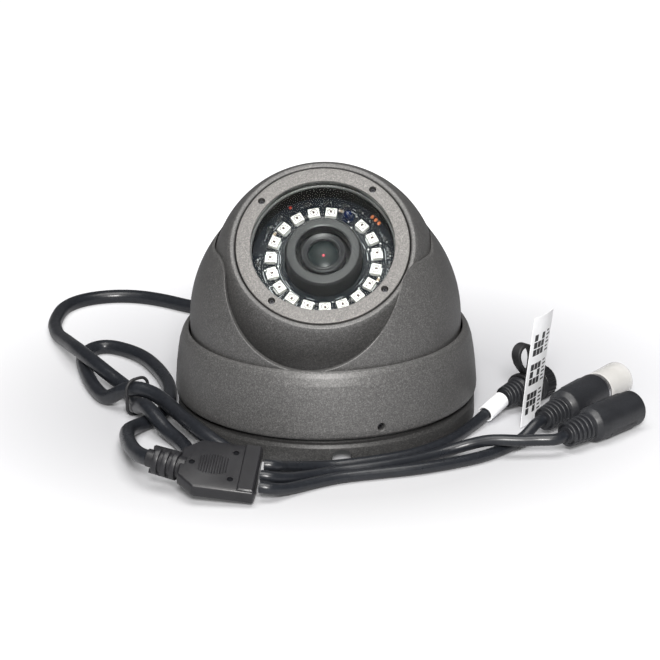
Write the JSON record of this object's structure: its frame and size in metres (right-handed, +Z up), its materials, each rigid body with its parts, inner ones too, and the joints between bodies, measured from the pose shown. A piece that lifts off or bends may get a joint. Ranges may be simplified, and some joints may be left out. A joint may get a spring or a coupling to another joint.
{
  "type": "dome security camera",
  "caption": "Turret dome security camera: a lens ball with infrared lamps in a panning shell on a clamped base, with a folded lead ending in power, video and service connectors.",
  "frame": {"origin": "centre of the mounting base's underside", "axes": "+Z up out of the base, -Y towards the side the lens faces, +X to the viewer's right"},
  "size_m": [0.1973, 0.1887, 0.0807],
  "materials": {
    "paint": "graphite metallic paint with a fine sparkle on die-cast aluminium, satin",
    "black_plastic": "moulded black plastic, matte",
    "cable_jacket": "black PVC jacket, satin",
    "rubber": "black rubber",
    "steel": "plated steel",
    "brass": "plated brass",
    "glass": "clear polished glass",
    "circuit": "circuit board with a black solder mask",
    "sensor": "dark blue sensor resin",
    "nylon": "white nylon",
    "vinyl": "milky clear vinyl",
    "paper": "white label film"
  },
  "bodies": {
    "base": {"mounting_base": "paint", "clamp_collar": "paint", "grub_screw_1": "steel", "grub_screw_2": "steel", "grub_screw_3": "steel", "base_grommet": "rubber", "inner_lead": "cable_jacket", "lead_plug": "nylon", "pan_washer": "nylon", "pan_retainer": "steel", "retainer_screw_1": "steel", "retainer_screw_2": "steel", "retainer_screw_3": "steel", "main_cable": "cable_jacket", "cable_tie": "rubber", "splitter_block": "black_plastic", "service_tail": "cable_jacket", "power_tail": "cable_jacket", "video_tail": "cable_jacket", "power_boot": "black_plastic", "power_sleeve": "brass", "power_pin": "brass", "video_boot": "black_plastic", "video_shell": "steel", "video_insulator": "nylon", "video_contact": "brass", "service_boot": "black_plastic", "cap_strap": "rubber", "label_sleeve": "paper", "label_flag": "paper"},
    "turret": {"turret_shell": "paint"},
    "yoke": {"tilt_yoke": "steel", "trunnion_pin_left": "steel", "trunnion_pin_right": "steel"},
    "ball": {"ball_shell": "paint", "swivel_clip": "steel", "face_ring": "paint", "front_glass": "glass", "glass_seal": "rubber", "face_screw_1": "steel", "face_screw_2": "steel", "face_screw_3": "steel", "face_screw_4": "steel", "ir_board": "circuit", "photocell": "sensor", "board_cup": "black_plastic", "lens_shroud": "black_plastic", "lens_barrel": "black_plastic", "lens_glass": "glass", "lens_holder": "black_plastic", "sensor_board": "circuit", "image_sensor": "sensor", "board_pillar_1": "brass", "board_pillar_2": "brass", "board_pillar_3": "brass", "board_pillar_4": "brass"},
    "video_cap": {"video_cap": "vinyl"},
    "service_cap": {"service_cap": "black_plastic", "service_seal": "rubber"}
  },
  "joints": [
    {"name": "turret_pan", "type": "hinge", "parent": "base", "child": "turret", "pos_m": [0, 0, 0.0082], "axis": [0, 0, 1], "range_deg": [-175, 175]},
    {"name": "lens_tilt", "type": "hinge", "parent": "turret", "child": "yoke", "pos_m": [0, 0, 0.0456], "axis": [-0.9991, 0.0419, 0], "range_deg": [-35, 45]},
    {"name": "lens_roll", "type": "hinge", "parent": "yoke", "child": "ball", "pos_m": [0, 0, 0.0456], "axis": [-0.0296, -0.7065, 0.7071], "range_deg": [-90, 90]},
    {"name": "video_cap_pull", "type": "slide", "parent": "base", "child": "video_cap", "axis": [0.6088, 0.7934, 0], "range_m": [0, 0.012]},
    {"name": "service_cap_pull", "type": "slide", "parent": "base", "child": "service_cap", "axis": [0.682, 0.7314, 0], "range_m": [0, 0.008]}
  ]
}
